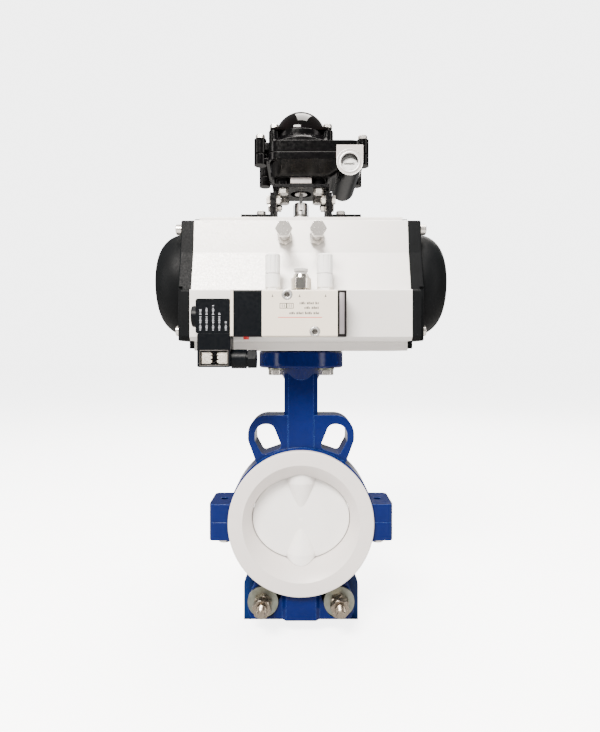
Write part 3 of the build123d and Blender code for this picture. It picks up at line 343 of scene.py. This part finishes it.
def rubber():
    made = Finish("black_rubber", (0.02, 0.02, 0.02), 0.6)
    made.tint(made.between(made.noise(6.0), 0.4, 0.7, 0.0, 0.5), (0.045, 0.045, 0.045))
    made.gloss(made.noise(1.5), 0.3, 0.7, 0.5, 0.75)
    made.bump(made.noise(0.7), 0.04, 0.4, 0.2)
    return made.material


def black_gloss(name, colour=(0.0012, 0.0012, 0.0014), roughness=0.11):
    """Glossy black enamel over a die casting."""
    made = Finish(name, colour, roughness, Specular_IOR_Level=0.12)
    made.tint(made.between(made.noise(10.0), 0.45, 0.75, 0.0, 0.6), (0.0025, 0.0022, 0.0022))
    rubbed = made.product(made.edges(0.6), made.between(made.noise(1.6), 0.5, 0.6, 0.0, 0.4))
    made.tint(rubbed, (0.05, 0.045, 0.045))
    made.gloss(made.noise(3.0), 0.3, 0.7, roughness * 0.7, roughness * 2.0)
    made.bump(made.noise(3.0, 2.0), 0.03, 0.4, 0.8)
    return made.material


def clear_smoke():
    """Smoked clear moulding, almost black at this thickness."""
    made = Finish("smoked_clear", (0.0015, 0.0012, 0.0012), 0.05, Specular_IOR_Level=0.25)
    made.tint(made.between(made.noise(14.0), 0.45, 0.8, 0.0, 0.6), (0.004, 0.0018, 0.0018))
    made.gloss(made.noise(6.0), 0.3, 0.7, 0.03, 0.08)
    made.bump(made.noise(12.0, 2.0), 0.03, 0.3)
    return made.material


FINISHES = {
    "valve_enamel": cast_enamel("blue_cast_enamel",
                                (0.0004, 0.0060, 0.072), (0.05, 0.11, 0.36), (0.0003, 0.0042, 0.052)),
    "support_enamel": cast_enamel("blue_plate_enamel",
                                  (0.0003, 0.0125, 0.080), (0.05, 0.13, 0.36), (0.0003, 0.009, 0.060)),
    # liner PTFE darker than the disc cover's: partly its own pinkish tone, partly painted shade
    "ptfe": ptfe("white_fluoropolymer", (0.70, 0.655, 0.63)),
    "stem_steel": bright_steel("turned_stainless", (0.60, 0.59, 0.57), 0.24, (1, 1, 8)),
    "fastener_steel": bright_steel("bright_stainless", (0.72, 0.69, 0.65), 0.22, metallic=0.82),
    "zinc_plate": zinc_plate(),
    "elastomer": rubber(),
    "bearing_polymer": moulding("bearing_polymer", (0.66, 0.62, 0.50)),
    "anodised_body": anodised(),
    "cast_alloy": cast_alloy(),
    "cap_powder": powder_coat("charcoal_powder_coat",
                              (0.0022, 0.0026, 0.0030), (0.004, 0.0046, 0.0052), 0.9, 0.5, 0.07),
    "pinion_steel": bright_steel("nickelled_steel", (0.70, 0.68, 0.66), 0.30),
    "cream_enamel": powder_coat("cream_enamel", (0.70, 0.625, 0.52), (0.74, 0.67, 0.57), 0.7, 0.34),
    "black_moulding": moulding("black_moulding",
                               (0.0014, 0.0020, 0.0030), 0.36, 0.35, (0.0024, 0.0032, 0.0044), 0.10),
    "end_cover_grey": moulding("brown_black_moulding",
                               (0.004, 0.003, 0.003), 0.40, 0.35, (0.006, 0.005, 0.005), 0.15),
    "signal_red": moulding("red_moulding", (0.50, 0.015, 0.015), 0.30),
    "spool_alloy": bright_steel("ground_steel", (0.64, 0.64, 0.63), 0.18),
    "nickel_brass": bright_steel("nickelled_brass", (0.72, 0.69, 0.63), 0.16),
    "collar_grey": moulding("collar_moulding", (0.40, 0.39, 0.38), 0.35),
    "white_moulding": moulding("white_moulding", (0.85, 0.84, 0.82), 0.30, 0.5, (0.88, 0.88, 0.87)),
    "box_enamel": black_gloss("black_box_enamel"),
    "bracket_enamel": black_gloss("black_bracket_enamel", (0.002, 0.002, 0.0025), 0.22),
    "smoked_dome": clear_smoke(),
    "indicator_yellow": moulding("yellow_moulding", (0.62, 0.42, 0.03), 0.38),
    "switch_plastic": moulding("switch_moulding", (0.05, 0.03, 0.02), 0.40),
    "plug_alloy": cast_alloy(),
}

BRONZED = bright_steel("bronzed_stainless", (0.26, 0.22, 0.175), 0.26)
NODE_FINISHES = {
    # disc cover PTFE brighter than the liner's: partly tone, partly painted shade in the liner
    "disc_cover": ptfe("bright_fluoropolymer", (0.90, 0.875, 0.85)),
    "support_nuts": BRONZED,
    "support_studs": BRONZED,
}

for part in frame["record"]["subparts"]:
    node = frame["nodes"][part["node"]]
    finish = NODE_FINISHES.get(part["node"], FINISHES[part["material_slot"]])
    for index in range(max(1, len(node.material_slots))):
        if node.material_slots:
            node.material_slots[index].material = finish
        else:
            node.data.materials.append(finish)

# ---------------------------------------------------------------- modelling helpers


def start_clean():
    """Leaves object mode with nothing selected, ready for a new primitive."""
    if bpy.context.object and bpy.context.object.mode != "OBJECT":
        bpy.ops.object.mode_set(mode="OBJECT")
    bpy.ops.object.select_all(action="DESELECT")


def pick(test):
    """Selects the edit mesh's faces whose centre and normal pass a test."""
    piece = bpy.context.object
    bpy.ops.mesh.select_mode(type="FACE")
    bpy.ops.mesh.select_all(action="DESELECT")
    bpy.ops.object.mode_set(mode="OBJECT")
    for face in piece.data.polygons:
        face.select = test(face.center, face.normal)
    bpy.ops.object.mode_set(mode="EDIT")


def bevel(piece, width_mm, segments=2, angle=40):
    """Rounds the piece's sharp edges with an applied modifier."""
    start_clean()
    piece.select_set(True)
    bpy.context.view_layer.objects.active = piece
    rounding = piece.modifiers.new("edge_round", "BEVEL")
    rounding.width = width_mm * MM
    rounding.segments = segments
    rounding.limit_method = "ANGLE"
    rounding.angle_limit = math.radians(angle)
    bpy.ops.object.modifier_apply(modifier=rounding.name)


def settle(piece, name, slot, body="valve_frame", finish=None, smooth=35):
    """Names a finished piece, puts its place in its mesh and hangs it on its body."""
    start_clean()
    piece.select_set(True)
    bpy.context.view_layer.objects.active = piece
    bpy.ops.object.transform_apply(location=True, rotation=True, scale=True)
    if smooth:
        bpy.ops.object.shade_smooth_by_angle(angle=math.radians(smooth))
    piece.name = name
    piece.data.name = name
    piece.data.materials.clear()
    piece.data.materials.append(finish or FINISHES[slot])
    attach(piece, body)
    return piece


def slab(x, y, z, round_mm=0.3, segments=2):
    """A rounded block between two values on each axis, in millimetres."""
    start_clean()
    centre = [(low + high) / 2 * MM for low, high in (x, y, z)]
    bpy.ops.mesh.primitive_cube_add(size=1.0, location=centre)
    piece = bpy.context.object
    piece.dimensions = [abs(high - low) * MM for low, high in (x, y, z)]
    bpy.ops.object.transform_apply(location=False, rotation=False, scale=True)
    bevel(piece, round_mm, segments)
    return piece


def aimed(piece, axis, place):
    """Turns a piece made along Z onto another axis and puts it in its place, in millimetres."""
    turn = {"Y": Matrix.Rotation(math.radians(-90), 4, "X"), "Z": Matrix.Identity(4)}[axis]
    piece.matrix_world = Matrix.Translation(Vector(place) * MM) @ turn
    start_clean()
    piece.select_set(True)
    bpy.context.view_layer.objects.active = piece
    bpy.ops.object.transform_apply(location=True, rotation=True, scale=True)
    return piece


def turned(steps, sides=48):
    """Draws a round bar out of a disc: each step is how far along and how wide, in millimetres."""
    start_clean()
    bpy.ops.mesh.primitive_circle_add(vertices=sides, radius=steps[0][1] * MM, fill_type="NGON",
                                      location=(0, 0, 0))
    piece = bpy.context.object
    bpy.ops.object.mode_set(mode="EDIT")
    bpy.ops.mesh.select_all(action="SELECT")
    bpy.ops.transform.translate(value=(0, 0, steps[0][0] * MM))
    for (low, narrow), (high, wide) in zip(steps, steps[1:]):
        bpy.ops.mesh.extrude_region_move(TRANSFORM_OT_translate={"value": (0, 0, (high - low) * MM)})
        if wide != narrow:
            bpy.ops.transform.resize(value=(wide / narrow, wide / narrow, 1),
                                     center_override=(0, 0, high * MM))
    bpy.ops.mesh.select_all(action="SELECT")
    bpy.ops.mesh.normals_make_consistent(inside=False)
    bpy.ops.object.mode_set(mode="OBJECT")
    return piece


def copied(piece, shift_mm):
    """A second piece with its own mesh, moved by a distance in millimetres."""
    twin = piece.copy()
    twin.data = piece.data.copy()
    bpy.context.scene.collection.objects.link(twin)
    twin.data.transform(Matrix.Translation(Vector(shift_mm) * MM))
    return twin


def joined(pieces):
    """Several loose shells kept as one piece."""
    start_clean()
    for piece in pieces:
        piece.select_set(True)
    bpy.context.view_layer.objects.active = pieces[0]
    if len(pieces) > 1:
        bpy.ops.object.join()
    return pieces[0]


def lettered(piece_name, bars, slot, finish):
    """Printed marks: flat bars standing a hair proud, each given as x, y and z spans in millimetres."""
    return settle(joined([slab(*bar, 0.02, 1) for bar in bars]), piece_name, slot, finish=finish, smooth=0)


def print_ink(name, colour):
    made = Finish(name, colour, 0.5)
    made.tint(made.between(made.noise(0.5, 3.0), 0.5, 0.7, 0.0, 0.5), tuple(c * 0.6 for c in colour))
    made.gloss(made.noise(1.0), 0.3, 0.7, 0.42, 0.62)
    made.bump(made.noise(0.3), 0.01, 0.4)
    return made.material


build_camera()
build_studio()

# ---------------------------------------------------------------- support studs

STUD_X, STUD_Z = 38.2, -80.5
STUD_ENDS = (-45.0, 40.0)
PITCH = 1.5


def threaded_bar():
    """A bar with a rolled thread over its whole length and chamfered ends."""
    low, high = STUD_ENDS
    crest, root = 5.0, 4.15
    steps = [(low, 3.6), (low + 1.0, root)]
    turns = int((high - low - 3.0) / PITCH)
    for turn in range(turns):
        at = low + 1.5 + turn * PITCH
        steps += [(at, root), (at + PITCH * 0.4, crest), (at + PITCH * 0.6, crest)]
    steps += [(high - 1.0, root), (high, 3.6)]
    return turned(steps, 28)


def support_studs():
    bar = aimed(threaded_bar(), "Y", (-STUD_X, 0.0, STUD_Z))
    studs = joined([bar, copied(bar, (2 * STUD_X, 0.0, 0.0))])
    settle(studs, "threaded_studs", "fastener_steel", finish=BRONZED, smooth=30)
    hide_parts("support_studs")


support_studs()

# ---------------------------------------------------------------- solenoid valve details

SOLENOID_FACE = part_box("solenoid_body")[0][1] / MM
INK = 0.06


def connector_contacts():
    """Two forked contacts behind the plug's clear window."""
    tin = Finish("tinned_contact", (0.86, 0.81, 0.72), 0.32, 0.3)
    tin.tint(tin.between(tin.noise(1.2, 4.0), 0.5, 0.62, 0.0, 0.8), (0.40, 0.30, 0.20))
    tin.gloss(tin.noise(0.8), 0.3, 0.7, 0.24, 0.45)
    tin.bump(tin.noise(0.9), 0.05, 0.6)
    blades = []
    for low, high in ((-86.0, -78.4), (-71.4, -63.8)):
        blade = slab((low, high), (-87.7, -86.9), (159.4, 169.6), 0.25)
        bpy.ops.object.mode_set(mode="EDIT")
        pick(lambda centre, normal: normal.z < -0.9)
        foot = Vector(((low + high) / 2, -87.2, 159.2)) * MM
        bpy.ops.transform.resize(value=(0.72, 1, 1), center_override=foot)
        bpy.ops.object.mode_set(mode="OBJECT")
        inner = high if low < -75 else low
        teeth = slab((inner - 1.3, inner + 1.3), (-87.5, -86.9), (160.4, 162.4), 0.2)
        blades += [blade, teeth, copied(teeth, (0, 0, 3.4)), copied(teeth, (0, 0, 6.4))]
    settle(joined(blades), "plug_contacts", "nickel_brass", finish=tin.material)


def connector_window():
    """A clear pane let into the plug's front, with its moulded rim."""
    glass = Finish("clear_pane", (0.02, 0.02, 0.02), 0.06, Alpha=0.06, Specular_IOR_Level=0.4)
    glass.tint(glass.between(glass.noise(5.0), 0.5, 0.8, 0.0, 0.4), (0.04, 0.035, 0.03))
    glass.gloss(glass.noise(3.0), 0.3, 0.7, 0.04, 0.12)
    glass.bump(glass.noise(6.0), 0.01, 0.3)
    pane = slab((-87.4, -62.8), (-89.9, -89.1), (157.8, 171.2), 0.2)
    settle(pane, "plug_window", "white_moulding", finish=glass.material)
    left, right, foot, top = -87.5, -62.7, 157.7, 171.3
    depth, bar = (-90.05, -89.4), 0.6
    rim = [slab((edge, edge + bar), depth, (158.0, 171.0), 0.15) for edge in (left, right - bar)]
    rim += [slab((left, right), depth, (edge, edge + bar), 0.15) for edge in (foot, top - bar)]
    settle(joined(rim), "plug_window_rim", "white_moulding",
           finish=moulding("smoky_rim", (0.05, 0.045, 0.04), 0.3))


def strokes(start, end, height_mm, thick_mm=0.42):
    """Short strokes in word-like groups: each is where it starts, how wide it is and how tall."""
    made = []
    at, count = start, 0
    while at < end:
        made.append((at, thick_mm + 0.14 * (count % 3), height_mm * (0.7 + 0.1 * ((count * 5) % 4))))
        count += 1
        at += 2.1 if count % 6 == 5 else 1.05
    return made


def coil_marks():
    """Five upright rows of plain strokes where a rating would be printed."""
    bars = []
    for row, x in enumerate((-86.8, -81.4, -75.8, -70.4, -64.8)):
        for at, width, height in strokes(188.2, (206.5, 208.8, 209.6, 203.0, 196.0)[row], 1.9):
            bars.append(((x - height / 2, x + height / 2), (-90.0 - INK, -89.95), (at, at + width)))
    lettered("coil_marks", bars, "white_moulding", print_ink("white_ink", (0.30, 0.31, 0.34)))


def solenoid_marks():
    """A coloured rule, a plain two-square valve symbol and rows of strokes."""
    face = (SOLENOID_FACE - INK, SOLENOID_FACE + 0.05)
    lettered("solenoid_rule", [((-20.0, 18.2), face, (199.2, 199.9))], "signal_red",
             print_ink("red_ink", (0.62, 0.10, 0.08)))
    bars = []
    side, height, line = 6.0, 4.7, 0.5
    outline = ((0, side, 0, line), (0, side, height - line, height), (0, line, 0, height),
               (side - line, side, 0, height), (1.9, 2.4, 1.0, 3.7), (3.7, 4.2, 1.0, 3.7))
    for left in (-18.4, -12.4):
        for low, high, bottom, top in outline:
            bars.append(((left + low, left + high), face, (207.2 + bottom, 207.2 + top)))
    for x in (-24.6, -1.2, 21.2):
        bars.append(((x - 0.8, x + 0.8), face, (217.2, 217.8)))
        bars.append(((x - 0.3, x + 0.3), face, (217.2, 219.2)))
    for base, start in ((210.8, -1.2), (206.8, 2.9), (202.2, -10.2)):
        for at, width, height in strokes(start, 15.4, 2.2, 0.56):
            bars.append(((at, at + width), face, (base, base + height)))
    lettered("solenoid_marks", bars, "black_moulding", print_ink("grey_ink", (0.008, 0.007, 0.008)))


def ring(inner, outer, low, high, axis, place, round_mm=0.12, sides=40):
    """A flat ring cut from a disc, its bore bridged through and its edges broken."""
    start_clean()
    bpy.ops.mesh.primitive_cylinder_add(vertices=sides, radius=outer * MM, depth=(high - low) * MM,
                                        location=(0, 0, 0))
    piece = bpy.context.object
    bpy.ops.object.mode_set(mode="EDIT")
    pick(lambda centre, normal: abs(normal.z) > 0.9)
    bpy.ops.mesh.inset(thickness=(outer - inner) * MM)
    bpy.ops.mesh.bridge_edge_loops()
    bpy.ops.mesh.select_all(action="SELECT")
    bpy.ops.mesh.normals_make_consistent(inside=False)
    bpy.ops.object.mode_set(mode="OBJECT")
    along = {"Y": Vector((0, 1, 0)), "Z": Vector((0, 0, 1))}[axis]
    middle = Vector(place) + along * ((low + high) / 2)
    aimed(piece, axis, middle)
    bevel(piece, round_mm, 2)
    return piece


def screw_seats():
    """Bright spot-faced seats round the two through screws."""
    one = ring(2.7, 4.3, -0.35, 0.1, "Y", (-12.0, SOLENOID_FACE, 219.2))
    settle(joined([one, copied(one, (24.0, 0.0, -32.0))]), "screw_seats", "fastener_steel",
           finish=bright_steel("polished_steel", (0.90, 0.89, 0.87), 0.30))


def end_cover_plate():
    plate = slab((33.3, 37.6), (-89.35, -88.5), (185.2, 221.2), 0.3)
    settle(plate, "end_cover_plate", "end_cover_grey",
           finish=moulding("mauve_plate", (0.17, 0.155, 0.165), 0.35))


connector_contacts()
connector_window()
coil_marks()
solenoid_marks()
screw_seats()
end_cover_plate()

# ---------------------------------------------------------------- switch box details


def blank_plate():
    """A plain adhesive plate on the box's foot."""
    foot_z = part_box("box_base")[0][2] / MM
    plate = slab((-10.4, 10.4), (-24.5, -24.02), (foot_z + 0.6, foot_z + 8.2), 0.2)
    foil = Finish("plate_foil", (0.46, 0.43, 0.42), 0.4)
    foil.tint(foil.between(foil.noise(2.0, 4.0), 0.4, 0.7, 0.0, 0.7), (0.33, 0.30, 0.29))
    foil.gloss(foil.noise(1.0), 0.3, 0.7, 0.3, 0.5)
    foil.bump(foil.noise(1.2), 0.02, 0.5)
    settle(plate, "blank_plate", "plug_alloy", finish=foil.material)


GREY_FACE_FROM_X = 0.0338      # left edge of the light grey face
SKIN = 0.00012            # how far behind the foremost plane still counts as that face


def grey_conduit_face():
    """The front face round the conduit entry is coloured light grey within the black enamel."""
    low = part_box("box_base")[0]
    enamel = FINISHES["box_enamel"].copy()
    enamel.name = "black_box_enamel_with_grey_face"
    tree = enamel.node_tree
    shader = tree.nodes["Principled BSDF"]
    place = tree.nodes.new("ShaderNodeTexCoord")
    split = tree.nodes.new("ShaderNodeSeparateXYZ")
    tree.links.new(place.outputs["Object"], split.inputs[0])

    def test(socket, operation, value):
        node = tree.nodes.new("ShaderNodeMath")
        node.operation = operation
        tree.links.new(split.outputs[socket], node.inputs[0])
        node.inputs[1].default_value = value
        return node.outputs["Value"]

    front = test("Y", "LESS_THAN", low[1] + SKIN)
    right = test("X", "GREATER_THAN", GREY_FACE_FROM_X)
    both = tree.nodes.new("ShaderNodeMath")
    both.operation = "MULTIPLY"
    tree.links.new(front, both.inputs[0])
    tree.links.new(right, both.inputs[1])
    mix = tree.nodes.new("ShaderNodeMix")
    mix.data_type = "RGBA"
    colour = shader.inputs["Base Color"].links[0].from_socket
    tree.links.new(both.outputs["Value"], mix.inputs["Factor"])
    tree.links.new(colour, mix.inputs["A"])
    # light grey on the front face right of the edge
    mix.inputs["B"].default_value = (0.50, 0.46, 0.44, 1.0)
    tree.links.new(mix.outputs["Result"], shader.inputs["Base Color"])
    for slot in frame["nodes"]["box_base"].material_slots:
        slot.material = enamel


def conduit_lip():
    """The machined lip round the conduit entry, with a scored line outside it."""
    place = (46.7, -42.0, 351.5)
    lips = [ring(8.6, 10.2, -0.35, 0.1, "Y", place), ring(12.0, 12.7, -0.3, 0.1, "Y", place)]
    settle(joined(lips), "conduit_lip", "plug_alloy")


def pinion_cup():
    """A thin black indicator cup round the pinion's end: flared foot and two upright walls."""
    foot_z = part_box("actuator_body")[1][2] / MM
    foot = ring(7.2, 11.5, 0.1, 1.1, "Z", (0.0, 0.0, foot_z))
    collar = ring(7.0, 8.2, 1.0, 4.0, "Z", (0.0, 0.0, foot_z))
    wall = slab((6.95, 7.75), (-2.6, 2.6), (foot_z + 3.6, foot_z + 17.2), 0.25)
    settle(joined([foot, collar, wall, copied(wall, (-14.7, 0, 0))]), "pinion_cup", "black_moulding",
           body="drive_train")


blank_plate()
grey_conduit_face()
conduit_lip()
pinion_cup()
